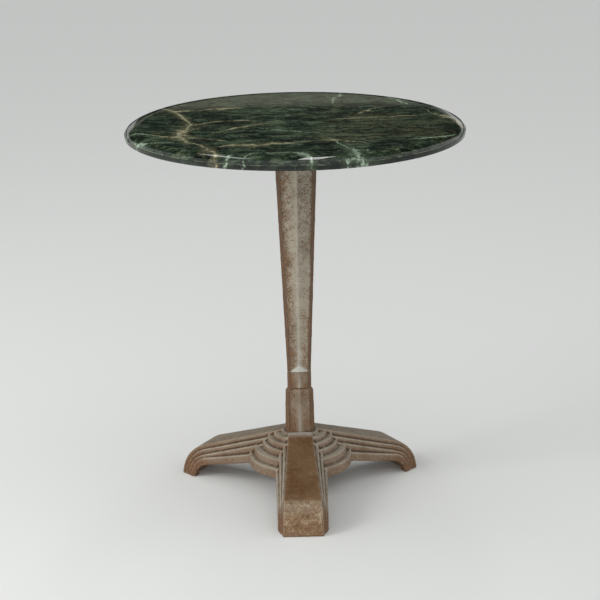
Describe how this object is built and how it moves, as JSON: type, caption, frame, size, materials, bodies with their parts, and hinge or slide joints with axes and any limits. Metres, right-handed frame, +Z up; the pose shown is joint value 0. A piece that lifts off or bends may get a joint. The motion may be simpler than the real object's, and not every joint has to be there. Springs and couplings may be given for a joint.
{
  "type": "bistro table",
  "caption": "Round cafe table with a moulded marble top on a tapered, faceted cast-iron column and a stepped tripod base.",
  "frame": {"origin": "on the floor, under the column's axis", "axes": "+Z up along the column; one leg points along -Y, the other two 120 degrees to each side of it"},
  "size_m": [0.61, 0.61, 0.7],
  "materials": {
    "marble": "polished green marble with pale veins",
    "aged_iron": "worn grey-brown iron with rust",
    "bracket_iron": "dark raw casting",
    "fastener_steel": "dull oxidised steel",
    "insert_brass": "dull brass",
    "cork": "pressed cork"
  },
  "bodies": {
    "root": {"marble_top": "marble", "marble_inserts": "insert_brass", "spider": "bracket_iron", "spider_screws": "fastener_steel", "spider_pads": "cork", "column": "aged_iron", "collar": "aged_iron", "sleeve": "aged_iron", "tripod_base": "aged_iron", "tie_rod": "fastener_steel", "top_washer": "fastener_steel", "top_nut": "fastener_steel", "bottom_washer": "fastener_steel", "bottom_nut": "fastener_steel"}
  },
  "joints": []
}
